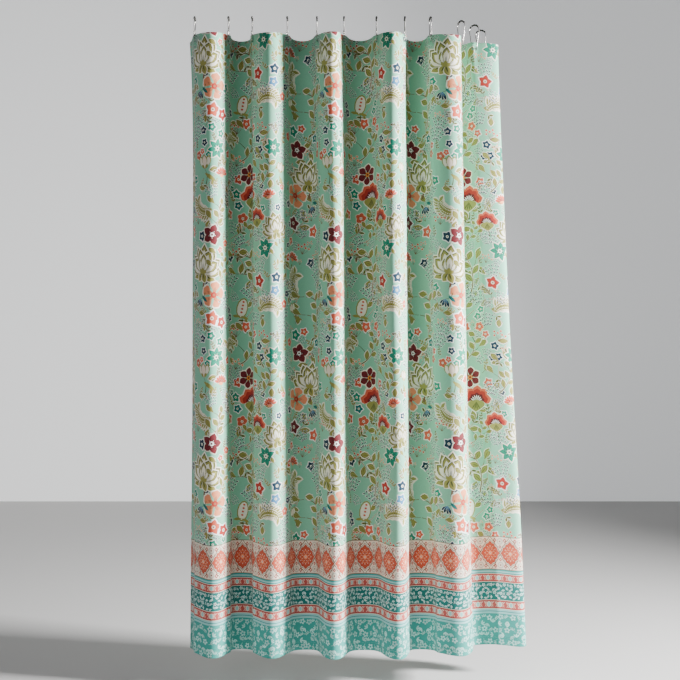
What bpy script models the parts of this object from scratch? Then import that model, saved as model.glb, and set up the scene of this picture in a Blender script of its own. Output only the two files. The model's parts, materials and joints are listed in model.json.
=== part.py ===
"""Shower curtain on twelve roller hooks, hung in folds on a rod that bends back at its right end.

Metres, +Z up. +X runs along the rod's straight stretch and -Y faces the room. The origin is on the
rod's axis at the sixth hook; the rod itself belongs to the bathroom and isn't part of the curtain.

The cloth is cut into leaves, one for each hook pitch, which are hinged to each other along the
crests of the folds. Each hook is a bent wire ring, snapped shut in front, with rollers on its top.
"""

import math

import bmesh
import bpy
import numpy as np

# Cloth
HOOK_COUNT = 12
HOOK_PITCH = 0.1525  # between two buttonholes on the flat cloth
CLOTH_HEIGHT = 1.83
CLOTH_THICKNESS = 0.0010
CLOTH_DROP = 0.036  # from the rod's axis to the cloth's top edge
CREST_GAP = 0.0009  # between two leaves, at the crest of a fold
HOLE_WIDTH = 0.013
HOLE_HEIGHT = 0.006
BOTTOM_FLARE = 0.056  # how far the last folds spread at the bottom hem
FLARE_START = 7.5  # in hook pitches from the left edge
FLARE_END = 11.0

# Rod, which sets where the hooks are
BEND_START = 0.229
BEND_RADIUS = 0.200
HOOK_SPACINGS = (0.100, 0.070, 0.104, 0.088, 0.080, 0.096, 0.084, 0.076, 0.104, 0.066, 0.066)
ORIGIN_HOOK = 6

# Folds
THREAD_ANGLE = math.radians(46)  # the cloth's angle to the rod where it passes through a hook
THREAD_ZONE = 0.012  # the length along the cloth over which it keeps that angle
EDGE_ANGLE = math.radians(83)
EDGE_CURL = math.radians(20)

# Hooks
ROD_RADIUS = 0.0127
WIRE_RADIUS = 0.0012
WIRE_GAP = 0.0003  # between the wire and what it touches
ROLLER_RADIUS = 0.0032
ROLLER_NECK = 0.0023
ROLLER_COUNT = 5
ROLLER_SPREAD = math.radians(120)
RING_RADIUS = ROD_RADIUS + ROLLER_RADIUS + 0.0001
LOOP_RADIUS = 0.009
LOOP_DEPTH = 0.047  # from the rod's axis to the centre of the loop that holds the cloth
CATCH_START = 0.58  # the snap's overlap, as shares of the front leg's length
CATCH_END = 0.80
ROLLER_SIDES = 8

# Measures that follow from those above
CLOTH_TOP = -CLOTH_DROP
CLOTH_BOTTOM = CLOTH_TOP - CLOTH_HEIGHT
WIRE_SEAT = -(LOOP_DEPTH + LOOP_RADIUS)
HOLE_TOP = WIRE_SEAT + WIRE_RADIUS + 3 * WIRE_GAP
HOLE_BOTTOM = HOLE_TOP - HOLE_HEIGHT
SAMPLES = 80  # per hook pitch, when a fold's curve is worked out

CLOTH_COLOUR = (0.52, 0.74, 0.64, 1)
WIRE_COLOUR = (0.72, 0.72, 0.70, 1)
ROLLER_COLOUR = (0.20, 0.20, 0.20, 1)


def material(name, colour, roughness, metallic):
    made = bpy.data.materials.new(name)
    made.use_nodes = True
    shader = made.node_tree.nodes["Principled BSDF"]
    shader.inputs["Base Color"].default_value = colour
    shader.inputs["Roughness"].default_value = roughness
    shader.inputs["Metallic"].default_value = metallic
    return made


def add_object(name, data, finish, location, turn=0.0):
    data.materials.append(finish)
    made = bpy.data.objects.new(name, data)
    made.location = location
    made.rotation_euler = (0, 0, turn)
    bpy.context.scene.collection.objects.link(made)
    return made


# ---- Where the hooks and the folds are ----


def rod_point(distance):
    """The rod's axis this far along it from the origin, and how far the rod has turned there."""
    turn = max(0.0, distance - BEND_START) / BEND_RADIUS
    x = min(distance, BEND_START) + BEND_RADIUS * math.sin(turn)
    return np.array([x, BEND_RADIUS * (1 - math.cos(turn))]), turn


def hook_places():
    """(position, turn) of each hook on the rod."""
    along = np.concatenate([[0], np.cumsum(HOOK_SPACINGS)])
    return [rod_point(distance) for distance in along - along[ORIGIN_HOOK - 1]]


def fold_side(interval):
    """-1 where the fold after this hook stands towards the room, and 1 where it goes back."""
    return -1 if interval % 2 else 1


def threading(reach):
    """1 at a hook, falling to 0 this far along the cloth from it."""
    return np.exp(-((reach / THREAD_ZONE) ** 2))


def fold_angle(t, peak):
    """The cloth's angle to the rod across one fold, from its first hook (t = 0) to its second."""
    ends = threading(t * HOOK_PITCH) - threading((1 - t) * HOOK_PITCH)
    return peak * np.cos(math.pi * t) + (THREAD_ANGLE - peak) * ends


def fold_directions(side, turns, peak, skew):
    t = (np.arange(SAMPLES) + 0.5) / SAMPLES
    bend = turns[0] + (turns[1] - turns[0]) * t + skew * np.sin(math.pi * t)
    return side * fold_angle(t, peak) + bend


def solve_fold(side, start, end, turns):
    """The directions along a fold of one pitch of cloth that leads from one hook to the next."""

    def miss(unknowns):
        angles = fold_directions(side, turns, *unknowns)
        reached = HOOK_PITCH * np.array([np.cos(angles).mean(), np.sin(angles).mean()])
        return start + reached - end

    unknowns = np.array([1.4, 0.0])
    step = 1e-5
    for _ in range(30):
        error = miss(unknowns)
        columns = [(miss(unknowns + step * axis) - error) / step for axis in np.eye(2)]
        unknowns = unknowns - np.linalg.solve(np.array(columns).T, error)
    return fold_directions(side, turns, *unknowns)


def edge_directions(side, turn):
    """The directions from an end hook out to the free edge, half a pitch away."""
    reach = (np.arange(SAMPLES // 2) + 0.5) / (SAMPLES // 2)
    near = threading(reach * HOOK_PITCH / 2)
    angle = EDGE_ANGLE - EDGE_CURL * reach**2 + (THREAD_ANGLE - EDGE_ANGLE) * near
    return side * angle + turn


def cross_section(hooks):
    """The cloth's line seen from above: (distance along the cloth, x, y), from the left edge."""
    first, last = hooks[0], hooks[-1]
    runs = [edge_directions(fold_side(1), first[1])[::-1]]
    for k in range(1, HOOK_COUNT):
        (start, turn), (end, next_turn) = hooks[k - 1], hooks[k]
        runs.append(solve_fold(fold_side(k), start, end, (turn, next_turn)))
    runs.append(edge_directions(fold_side(HOOK_COUNT), last[1]))
    angles = np.concatenate(runs)
    step = HOOK_PITCH / SAMPLES
    x = np.concatenate([[0], np.cumsum(np.cos(angles))]) * step
    y = np.concatenate([[0], np.cumsum(np.sin(angles))]) * step
    along = np.arange(len(x)) * step
    at_hook = SAMPLES // 2
    return along, x - x[at_hook] + first[0][0], y - y[at_hook] + first[0][1]


def cloth_point(section, distance, z):
    """A point of the cloth, whose last folds lean outwards below the hooks."""
    along, x, y = section
    spread = (distance / HOOK_PITCH - FLARE_START) / (FLARE_END - FLARE_START)
    down = (WIRE_SEAT - z) / (WIRE_SEAT - CLOTH_BOTTOM)
    lean = BOTTOM_FLARE * min(max(spread, 0), 1) ** 2 * down
    return np.array([np.interp(distance, along, x) + lean, np.interp(distance, along, y), z])


def crest_axis(section, k):
    """The hinge line along the crest between leaf k and leaf k + 1: its top, and its direction."""
    top = cloth_point(section, k * HOOK_PITCH, WIRE_SEAT)
    rise = top - cloth_point(section, k * HOOK_PITCH, CLOTH_BOTTOM)
    return top, rise / np.linalg.norm(rise)


# ---- Cloth ----


def add_leaf(section, hooks, k, finish):
    """Leaf k of the cloth, with a buttonhole at its middle."""
    start = (k - 1) * HOOK_PITCH + (CREST_GAP / 2 if k > 1 else 0)
    end = k * HOOK_PITCH - (CREST_GAP / 2 if k < HOOK_COUNT else 0)
    middle = (k - 0.5) * HOOK_PITCH
    columns = 7
    left = np.linspace(start, middle - HOLE_WIDTH / 2, columns)
    right = np.linspace(middle + HOLE_WIDTH / 2, end, columns)
    distances = np.concatenate([left, right])
    heights = (CLOTH_BOTTOM, HOLE_BOTTOM, HOLE_TOP, CLOTH_TOP)
    hinge = np.array([*hooks[0][0], 0]) if k == 1 else crest_axis(section, k - 1)[0]

    mesh = bpy.data.meshes.new(f"fabric_panel_{k:02d}")
    build = bmesh.new()
    grid = [
        [build.verts.new(cloth_point(section, distance, z) - hinge) for z in heights]
        for distance in distances
    ]
    for i in range(len(distances) - 1):
        for j in range(len(heights) - 1):
            in_hole = i == columns - 1 and j == 1
            if not in_hole:
                build.faces.new((grid[i][j], grid[i + 1][j], grid[i + 1][j + 1], grid[i][j + 1]))
    build.to_mesh(mesh)
    build.free()
    mesh.shade_smooth()
    leaf = add_object(mesh.name, mesh, finish, hinge)
    shell = leaf.modifiers.new("thickness", "SOLIDIFY")
    shell.thickness = CLOTH_THICKNESS
    shell.offset = 0
    shell.use_even_offset = True


# ---- Hooks, each in its own frame: x along the rod, -y in front ----


def ring_tilt():
    """The angle of the ring's legs, which touch the top arc and the bottom loop."""
    return math.asin((RING_RADIUS - LOOP_RADIUS) / LOOP_DEPTH)


def front_leg(share, offset=0.0):
    """A point on the front leg, from its top (share = 0) to the loop (share = 1)."""
    tilt = ring_tilt()
    out = np.array([0, -math.cos(tilt), -math.sin(tilt)])
    top = RING_RADIUS * out
    bottom = LOOP_RADIUS * out - np.array([0, 0, LOOP_DEPTH])
    return top + share * (bottom - top) + np.array([offset, 0, 0])


def arc_points(radius, centre_z, start, end, count):
    """Points on an arc round the rod's direction. Angles run from the front, over the top."""
    return [
        np.array([0, -radius * math.cos(angle), centre_z + radius * math.sin(angle)])
        for angle in np.linspace(start, end, count)
    ]


def ring_points():
    """The wire's middle line: down from the catch, over the rod, round the loop and up again."""
    tilt = ring_tilt()
    aside = WIRE_RADIUS + WIRE_GAP / 2
    before = CATCH_START - 0.04
    after = CATCH_END + 0.04
    upper = [front_leg(CATCH_END, aside), front_leg(before, aside), front_leg(before / 2)]
    over = arc_points(RING_RADIUS, 0, -tilt, math.pi + tilt, 13)
    under = arc_points(LOOP_RADIUS, -LOOP_DEPTH, math.pi + tilt, 2 * math.pi - tilt, 9)
    lower = [front_leg(after, -aside), front_leg(CATCH_START, -aside)]
    return upper + over + under + lower


def ring_curve():
    curve = bpy.data.curves.new("hook_ring", "CURVE")
    curve.dimensions = "3D"
    curve.bevel_depth = WIRE_RADIUS
    curve.bevel_resolution = 1
    curve.use_fill_caps = True
    points = ring_points()
    spline = curve.splines.new("POLY")
    spline.points.add(len(points) - 1)
    for slot, point in zip(spline.points, points):
        slot.co = (*point, 1)
        slot.radius = 1
    return curve


def circle_of_verts(build, angle, radius):
    """A ring of vertices round the wire, where it crosses the top arc at this angle."""
    out = np.array([0, -math.cos(angle), math.sin(angle)])
    side = np.array([1, 0, 0])
    centre = RING_RADIUS * out
    turns = np.linspace(0, 2 * math.pi, ROLLER_SIDES, endpoint=False)
    return [build.verts.new(centre + radius * (math.cos(a) * out + math.sin(a) * side)) for a in turns]


def bridge(build, first, second):
    for i in range(ROLLER_SIDES):
        j = (i + 1) % ROLLER_SIDES
        build.faces.new((first[i], first[j], second[j], second[i]))


def roller_mesh():
    """The rollers on one ring: beads in a row, bored for the wire."""
    mesh = bpy.data.meshes.new("hook_rollers")
    build = bmesh.new()
    start = (math.pi - ROLLER_SPREAD) / 2
    bead = ROLLER_SPREAD / ROLLER_COUNT
    outside = [(start, ROLLER_NECK)]
    for i in range(ROLLER_COUNT):
        for share, radius in ((0.22, ROLLER_RADIUS), (0.78, ROLLER_RADIUS), (1, ROLLER_NECK)):
            outside.append((start + (i + share) * bead, radius))
    bore = (WIRE_RADIUS + WIRE_GAP) / math.cos(math.pi / ROLLER_SIDES)
    inside = [(angle, bore) for angle in np.linspace(start, start + ROLLER_SPREAD, 9)]
    outer = [circle_of_verts(build, *place) for place in outside]
    inner = [circle_of_verts(build, *place) for place in inside]
    for rings in (outer, inner):
        for first, second in zip(rings, rings[1:]):
            bridge(build, first, second)
    bridge(build, outer[0], inner[0])
    bridge(build, outer[-1], inner[-1])
    bmesh.ops.recalc_face_normals(build, faces=build.faces)
    build.to_mesh(mesh)
    build.free()
    mesh.shade_smooth()
    mesh.set_sharp_from_angle(angle=math.radians(50))
    return mesh


def main():
    for old in list(bpy.data.objects):
        bpy.data.objects.remove(old)
    cloth = material("cloth", CLOTH_COLOUR, 0.85, 0.0)
    wire = material("hook_wire", WIRE_COLOUR, 0.25, 1.0)
    roller = material("hook_roller", ROLLER_COLOUR, 0.35, 0.8)
    hooks = hook_places()
    section = cross_section(hooks)
    for k, (place, turn) in enumerate(hooks, start=1):
        add_leaf(section, hooks, k, cloth)
        add_object(f"hook_ring_{k:02d}", ring_curve(), wire, (*place, 0), turn)
        add_object(f"hook_rollers_{k:02d}", roller_mesh(), roller, (*place, 0), turn)


main()
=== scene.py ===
"""A printed cloth shower curtain, hung in folds from twelve wire roller hooks.

The cloth is one surface, worked out from the places of the hooks and the length of cloth between
them, and cut below each hook into pieces. The print is drawn as flat
polygons in millimetres, on a tile that repeats every four hooks, and laid over that surface.
"""

import json
import math
import random

import bpy
import numpy as np
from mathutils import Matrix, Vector, geometry


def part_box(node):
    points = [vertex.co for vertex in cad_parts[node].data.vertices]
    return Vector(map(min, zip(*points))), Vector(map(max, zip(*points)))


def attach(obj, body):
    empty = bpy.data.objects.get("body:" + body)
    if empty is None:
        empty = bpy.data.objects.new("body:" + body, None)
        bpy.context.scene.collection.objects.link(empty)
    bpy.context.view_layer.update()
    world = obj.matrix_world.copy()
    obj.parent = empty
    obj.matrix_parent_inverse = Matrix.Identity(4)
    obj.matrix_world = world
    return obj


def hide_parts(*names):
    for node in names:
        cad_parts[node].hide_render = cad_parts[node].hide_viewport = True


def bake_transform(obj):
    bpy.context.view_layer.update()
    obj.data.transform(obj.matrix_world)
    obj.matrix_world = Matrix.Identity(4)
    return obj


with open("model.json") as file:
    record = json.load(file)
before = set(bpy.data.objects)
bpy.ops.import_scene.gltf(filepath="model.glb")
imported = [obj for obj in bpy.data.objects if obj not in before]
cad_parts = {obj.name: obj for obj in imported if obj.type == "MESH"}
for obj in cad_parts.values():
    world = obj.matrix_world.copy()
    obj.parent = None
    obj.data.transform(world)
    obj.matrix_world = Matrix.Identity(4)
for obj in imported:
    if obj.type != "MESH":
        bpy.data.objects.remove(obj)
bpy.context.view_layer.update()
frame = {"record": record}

# ---- Sizes, in metres unless a name says otherwise ----

HOOKS = 12
PITCH = 0.1525
WIDTH = HOOKS * PITCH
HEIGHT = 1.83
CLOTH_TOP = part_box("fabric_panel_06")[1][2]
SEAT_DROP = 0.020  # from the cloth's top edge to the wire in the buttonhole
BEND_START = 0.229
BEND_RADIUS = 0.200
SAMPLES = 80  # along the cloth, per pitch
ROWS = 184
THREAD_ANGLE = math.radians(46)
THREAD_ZONE = 0.012
THREAD_FADE = 0.11  # how far below the hooks the cloth keeps the angle it is threaded at
EDGE_ANGLE = math.radians(83)
EDGE_CURL = math.radians(20)
CREST_SOFT = (0.22, 0.40)  # how round the crests towards the room are: the last one, the others
RIDGE_SHIFT = 1.12  # moves each fold's crest to the right of the middle between its hooks
HEADER_SAG = 0.005  # the dip of the top edge between two hooks
LEANS = (0, 0.003, 0.006, 0.008, 0.010, 0.012, 0.014, 0.018, 0.024, 0.038, 0.075, 0.108)

TILE_MM = 610
PITCH_MM = 152.5
GROUND_MM = 1500  # from the top edge down to the border
BORDER_MM = 330
CUT_MM = 12  # the cloth is cut this far past each hook
GRID_ACROSS_MM = PITCH_MM / 20
GRID_DOWN_MM = TILE_MM / 24
HEADER_MM = 50
SIDE_HEM_MM = 12
BOTTOM_HEM_MM = 25

RING_RADIUS = 0.016
LOOP_RADIUS = 0.009
LOOP_DEPTH = 0.047
WIRE_RADIUS = 0.0012
ROLLER_RADIUS = 0.0032
ROLLER_COUNT = 5
ROLLER_SPREAD = 120  # degrees of the ring's top that the rollers cover
SHOW_THROUGH = 0.07  # how much of the light comes through the cloth
HEM_MM = 0.6  # how far a hem's second layer stands off
STITCH_GAP_MM = 3.4
BAKE_SIDE_MM = 625.0  # of cloth, along one side of the bake's square
BAKE_COLUMN = 0.33
BAKE_MARGIN_MM = 4
FLOOR_Z = -1.96
STAGE_REACH = 9.0
BACKDROP_Y = 4
BACKDROP_TOP = 5

rng = random.Random(7)


# ---- Where the hooks are, from the frame ----


def joint(name):
    return next(j for j in frame["record"]["behaviour"]["joints"] if j["name"] == name)


def hook_places():
    """(position, turn) of each hook: its turn is that of the rod where it hangs."""
    names = ["draw"] + [f"hook_turn_{k:02d}" for k in range(2, HOOKS + 1)]
    found = []
    for name in names:
        x, y, _ = joint(name)["pos_m"]
        turn = math.atan2(x - BEND_START, BEND_RADIUS - y) if x > BEND_START else 0.0
        found.append((np.array([x, y]), turn))
    return found


hooks = hook_places()


# ---- The cloth's surface ----


def fold_side(interval):
    """-1 where the fold after this hook stands towards the room, and 1 where it goes back."""
    return -1 if interval % 2 else 1


def wander(seed, drops, scale):
    """A slow, smooth change down the cloth, 0 at the hooks."""
    local = random.Random(seed)
    phases = [local.uniform(0, 2 * math.pi) for _ in range(3)]
    waves = sum(np.sin(drops * (2.1 + 1.9 * i) + p) / (1 + i) for i, p in enumerate(phases))
    return scale * waves * np.clip(drops / 0.5, 0, 1)


def fold_directions(k, drops, turns, peak, skew):
    """The cloth's directions along fold k, one row for each height."""
    t = ((np.arange(SAMPLES) + 0.5) / SAMPLES)[None, :]
    fade = np.exp(-drops / THREAD_FADE)[:, None]
    near = np.exp(-((t * PITCH / THREAD_ZONE) ** 2)) - np.exp(-(((1 - t) * PITCH / THREAD_ZONE) ** 2))
    shifted = t**RIDGE_SHIFT if fold_side(k) < 0 else 1 - (1 - t) ** RIDGE_SHIFT
    profile = np.cos(math.pi * shifted)
    if fold_side(k) < 0:
        soft = CREST_SOFT[k != HOOKS - 1]
        profile = profile * math.sqrt(1 + soft) / np.sqrt(profile**2 + soft)
    angle = peak * profile + (THREAD_ANGLE - peak) * near * fade
    ripple = wander(31 + k, drops, 0.07)[:, None] * np.sin(2 * math.pi * t)
    ripple = ripple + wander(67 + k, drops, 0.05)[:, None] * np.sin(3 * math.pi * t)
    bend = turns[0] + (turns[1] - turns[0]) * t + skew * np.sin(math.pi * t)
    return fold_side(k) * angle + bend + ripple


def solve_fold(k, drops, starts, ends, turns):
    """Directions whose fold leads from each start to each end with one pitch of cloth."""

    def miss(peak, skew):
        angles = fold_directions(k, drops, turns, peak, skew)
        return starts + PITCH * np.stack([np.cos(angles).mean(1), np.sin(angles).mean(1)], 1) - ends

    peak = np.full((len(drops), 1), 1.4)
    skew = np.zeros((len(drops), 1))
    step = 1e-5
    for _ in range(25):
        error = miss(peak, skew)
        by_peak = (miss(peak + step, skew) - error) / step
        by_skew = (miss(peak, skew + step) - error) / step
        change = np.linalg.solve(np.stack([by_peak, by_skew], 2), error[:, :, None])[:, :, 0]
        peak = peak - np.clip(change[:, :1], -0.3, 0.3)
        skew = skew - np.clip(change[:, 1:], -0.3, 0.3)
    return fold_directions(k, drops, turns, peak, skew)


def edge_directions(side, turn, drops, seed):
    reach = ((np.arange(SAMPLES // 2) + 0.5) / (SAMPLES // 2))[None, :]
    fade = np.exp(-drops / THREAD_FADE)[:, None]
    near = np.exp(-((reach * PITCH / 2 / THREAD_ZONE) ** 2)) * fade
    curl = EDGE_CURL + wander(seed, drops, 0.15)[:, None]
    return side * (EDGE_ANGLE - curl * reach**2 + (THREAD_ANGLE - EDGE_ANGLE) * near) + turn


def cloth_surface():
    """Points and front normals on an even grid: rows down the cloth, columns along it."""
    drops = np.linspace(0, HEIGHT, ROWS)
    down = np.clip((drops - SEAT_DROP) / (HEIGHT - SEAT_DROP), 0, 1)
    places = []
    for k, (place, _) in enumerate(hooks):
        shift = np.zeros((ROWS, 2))
        shift[:, 0] = LEANS[k] * down**1.2 + wander(100 + k, drops, 0.0022)
        shift[:, 1] = wander(140 + k, drops, 0.0030)
        places.append(place + shift)
    turns = [turn for _, turn in hooks]
    runs = [edge_directions(fold_side(1), turns[0], drops, 5)[:, ::-1]]
    for k in range(1, HOOKS):
        runs.append(solve_fold(k, drops, places[k - 1], places[k], (turns[k - 1], turns[k])))
    runs.append(edge_directions(fold_side(HOOKS), turns[-1], drops, 9))
    angles = np.concatenate(runs, axis=1)
    step = PITCH / SAMPLES
    start = np.zeros((ROWS, 1))
    x = np.concatenate([start, np.cumsum(np.cos(angles), 1)], 1) * step
    y = np.concatenate([start, np.cumsum(np.sin(angles), 1)], 1) * step
    at_hook = SAMPLES // 2
    x += places[0][:, :1] - x[:, at_hook : at_hook + 1]
    y += places[0][:, 1:] - y[:, at_hook : at_hook + 1]
    along = np.arange(x.shape[1]) / SAMPLES
    sag = HEADER_SAG * np.sin(math.pi * (along - 0.5)) ** 2
    z = CLOTH_TOP - drops[:, None] - sag[None, :]
    points = np.stack([x, y, np.broadcast_to(z, x.shape)], 2)
    across = np.gradient(points, axis=1)
    below = np.gradient(points, axis=0)
    normals = np.cross(across, -below)
    normals /= np.linalg.norm(normals, axis=2, keepdims=True)
    return points, normals


surface_points, surface_normals = cloth_surface()


def on_cloth(flat_mm, lift_mm=0.0):
    """Points and normals of the hung cloth at flat places (across, down), in millimetres."""
    flat = np.asarray(flat_mm, float).reshape(-1, 2) / 1000
    column = np.clip(flat[:, 0] / WIDTH, 0, 1) * (surface_points.shape[1] - 1)
    row = np.clip(flat[:, 1] / HEIGHT, 0, 1) * (ROWS - 1)
    i = np.minimum(row.astype(int), ROWS - 2)
    j = np.minimum(column.astype(int), surface_points.shape[1] - 2)
    a, b = (row - i)[:, None], (column - j)[:, None]

    def mixed(grid):
        upper = grid[i, j] * (1 - b) + grid[i, j + 1] * b
        lower = grid[i + 1, j] * (1 - b) + grid[i + 1, j + 1] * b
        return upper * (1 - a) + lower * a

    normals = mixed(surface_normals)
    normals /= np.linalg.norm(normals, axis=1, keepdims=True)
    return mixed(surface_points) + normals * np.asarray(lift_mm).reshape(-1, 1) / 1000, normals


# ---- Colours ----


def rgb(red, green, blue):
    """A linear colour from the usual 0 to 255 values."""
    parts = np.array([red, green, blue]) / 255
    return np.where(parts <= 0.04045, parts / 12.92, ((parts + 0.055) / 1.055) ** 2.4)


GROUND = rgb(136, 200, 170)
CREAM = rgb(240, 236, 218)
WHITE = rgb(249, 249, 244)
OLIVE = rgb(150, 146, 76)
OLIVE_DARK = rgb(88, 92, 48)
CORAL = rgb(218, 98, 72)
PEACH = rgb(240, 150, 108)
RED = rgb(176, 50, 42)
MAROON = rgb(112, 32, 40)
TEAL = rgb(58, 160, 156)
TEAL_DARK = rgb(20, 112, 108)
EMERALD = rgb(20, 140, 112)
NAVY = rgb(20, 52, 72)
BLUE = rgb(84, 142, 186)
BROWN = rgb(122, 90, 66)
GREY = rgb(186, 184, 172)
AQUA = rgb(150, 206, 204)
SAND = rgb(238, 222, 204)
INK = rgb(26, 66, 66)


# ---- Shapes of the print: each motif is a list of (outline, colour), about one unit high ----


def oval(x, y, wide, high, turn=0.0, count=12):
    angles = np.linspace(0, 2 * math.pi, count, endpoint=False)
    c, s = math.cos(turn), math.sin(turn)
    u, v = wide * np.cos(angles), high * np.sin(angles)
    return np.stack([x + u * c - v * s, y + u * s + v * c], 1)


def petal(turn, length, wide, start=0.0, blunt=0.6, count=7):
    """A petal that points along `turn`; blunt sets where it is widest."""
    t = np.linspace(0, 1, count)
    half = wide / 2 * np.sin(math.pi * t ** (math.log(0.5) / math.log(blunt)))
    out = start + t * length
    edge = np.concatenate([np.stack([out, half], 1), np.stack([out, -half], 1)[-2:0:-1]])
    c, s = math.cos(turn), math.sin(turn)
    return edge @ np.array([[c, s], [-s, c]])


def fan(turns, *layers):
    """Petals at the given turns; each layer is (length, width, blunt, points, colour)."""
    return [(petal(a, length, wide, blunt=blunt, count=count), colour)
            for length, wide, blunt, count, colour in layers for a in turns]


def moved(outline, x, y, turn=0.0, size=1.0):
    c, s = math.cos(turn), math.sin(turn)
    return size * outline @ np.array([[c, s], [-s, c]]) + np.array([x, y])


def set_at(motif, x, y, turn=0.0, size=1.0):
    return [(moved(outline, x, y, turn, size), colour) for outline, colour in motif]


def bent(start, end, bow, count=9):
    """A line of points from start to end that bows to one side."""
    a, b = np.array(start, float), np.array(end, float)
    t = np.linspace(0, 1, count)[:, None]
    aside = np.array([-(b - a)[1], (b - a)[0]])
    return a + (b - a) * t + aside * bow * 4 * t * (1 - t)


def beside(line):
    """At each point of a line, the unit vector square to it."""
    along = np.gradient(line, axis=0)
    aside = np.stack([-along[:, 1], along[:, 0]], 1)
    return aside / np.linalg.norm(aside, axis=1, keepdims=True)


def stroke(line, wide, taper=0.35):
    """A painted stroke along a line of points, thinner at its end."""
    aside = beside(line)
    half = (wide / 2) * np.linspace(1, taper, len(line))[:, None]
    return np.concatenate([line + aside * half, (line - aside * half)[::-1]])


def flower(petals, colour, heart, tip=0.62, wide=0.42, edge=CREAM, dark=0.72, phase=-math.pi / 2):
    """An open flower: a pale edge, petals with a darker inner half, and a dotted heart."""
    turns = [phase + 2 * math.pi * i / petals for i in range(petals)]
    made = fan(turns, (0.56, wide + 0.09, tip, 7, edge), (0.51, wide, tip, 7, colour),
               (0.30, wide * 0.34, 0.5, 5, colour * dark))
    made += [(oval(0, 0, 0.115, 0.115), heart), (oval(0, 0, 0.05, 0.05, count=8), colour * 0.5)]
    seeds = [(0.16 * math.cos(a + 0.3), 0.16 * math.sin(a + 0.3)) for a in turns]
    return made + [(oval(*seed, 0.018, 0.018, count=5), heart) for seed in seeds]


def star(colour, heart=CREAM, points=5):
    turns = [-math.pi / 2 + 2 * math.pi * i / points for i in range(points)]
    made = fan(turns, (0.60, 0.52, 0.45, 7, WHITE), (0.50, 0.38, 0.45, 7, colour))
    return made + [(oval(0, 0, 0.13, 0.13, count=8), heart), (oval(0, 0, 0.06, 0.06, count=6), colour * 0.5)]


def leafed(line, colour, count, length, wide, dark=0.66, both=True, rib=True):
    """Leaves along a stem, each with a pale edge, a dark outline and a rib."""
    made = []
    for n in range(count):
        at = 1 + (len(line) - 2) * (n + 0.5) / count
        i = min(int(at), len(line) - 2)
        point = line[i] + (line[i + 1] - line[i]) * (at - i)
        heading = math.atan2(*(line[i + 1] - line[i])[::-1])
        for side in (1, -1) if both else (1 if n % 2 else -1,):
            turn = heading + side * 0.85
            scale = length * (1 - 0.30 * n / count)
            layers = [(1.0, 1.5, CREAM), (0.93, 1.0, colour)]
            if rib:
                layers = [(1.06, 1.65, CREAM), (0.97, 1.25, colour * dark), (0.88, 0.9, colour),
                          (0.7, 0.2, colour * dark)]
            for reach, spread, tone in layers:
                shape = petal(0, scale * reach, wide * spread, blunt=0.5, count=5)
                made.append((moved(shape, *point, turn), tone))
    return made


def artichoke():
    """A layered cream flower head with olive outlines, on olive leaves."""
    made = [(stroke(bent((0.06, 0.62), (0, 0.1), 0.05), 0.05), BROWN)]
    for turn, length in ((2.7, 0.40), (0.45, 0.42), (2.1, 0.26), (1.1, 0.26)):
        for scale, wide, colour in ((1.05, 0.22, CREAM), (0.98, 0.17, OLIVE), (0.7, 0.04, OLIVE_DARK)):
            made.append((moved(petal(turn, length * scale, wide, blunt=0.5), 0, 0.24), colour))
    tones = ((1.05, CREAM), (0.98, OLIVE_DARK), (0.92, OLIVE), (0.80, CREAM), (0.5, GREY))
    for reach, spread, count, wide in ((0.66, 1.40, 7, 0.27), (0.60, 0.95, 4, 0.27), (0.44, 0.42, 3, 0.22)):
        for i in sorted(range(count), key=lambda n: -abs(n - (count - 1) / 2)):
            lean = 2 * i / (count - 1) - 1
            turn = -math.pi / 2 + spread * lean
            length = reach * (1 - 0.22 * abs(lean))
            for scale, colour in tones:
                shape = petal(turn, length * scale, wide * scale * scale, blunt=0.6, count=6)
                made.append((moved(shape, 0, 0.24), colour))
    return made + [(moved(petal(-math.pi / 2 + a, 0.15, 0.09), 0, 0.27), OLIVE) for a in (-0.9, 0, 0.9)]


def tulip():
    """A cream bud on an olive stem with one long leaf."""
    made = [(stroke(bent((0.0, 0.5), (0, 0), 0.12), 0.035), OLIVE_DARK),
            (moved(petal(0.7, 0.5, 0.14, blunt=0.5), -0.02, 0.12), OLIVE)]
    for turn, colour in ((-2.05, CREAM), (-1.1, CREAM), (-1.57, SAND)):
        made += fan([turn], (0.5, 0.25, 0.6, 7, OLIVE), (0.45, 0.20, 0.6, 7, colour))
    return made + fan((-1.57 - 0.7, -1.57 + 0.7), (0.2, 0.1, 0.6, 7, OLIVE))


def mushroom():
    """A half flower: a coral fan with a scalloped white rim."""
    made = [(stroke(bent((0.0, 0.45), (0, 0.05), 0.1), 0.05), OLIVE)]
    for i in range(7):
        made += fan([-math.pi / 2 + (i - 3) * 0.42], (0.5, 0.2, 0.78, 7, WHITE), (0.44, 0.15, 0.74, 7, CORAL),
                    (0.3, 0.06, 0.6, 5, RED))
    return made + [(oval(0, 0.02, 0.16, 0.08), PEACH)]


def bell():
    """A navy bell flower with a teal leaf."""
    made = [(stroke(bent((0.3, -0.4), (0, 0), -0.15), 0.04), OLIVE_DARK),
            (moved(petal(0.5, 0.5, 0.18, blunt=0.5), 0.1, -0.2), TEAL_DARK)]
    for turn in (2.3, 1.9, 1.4, 1.0):
        made += fan([turn], (0.5, 0.2, 0.6, 7, CREAM), (0.46, 0.16, 0.6, 7, NAVY), (0.28, 0.04, 0.5, 4, BLUE))
    return made


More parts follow.
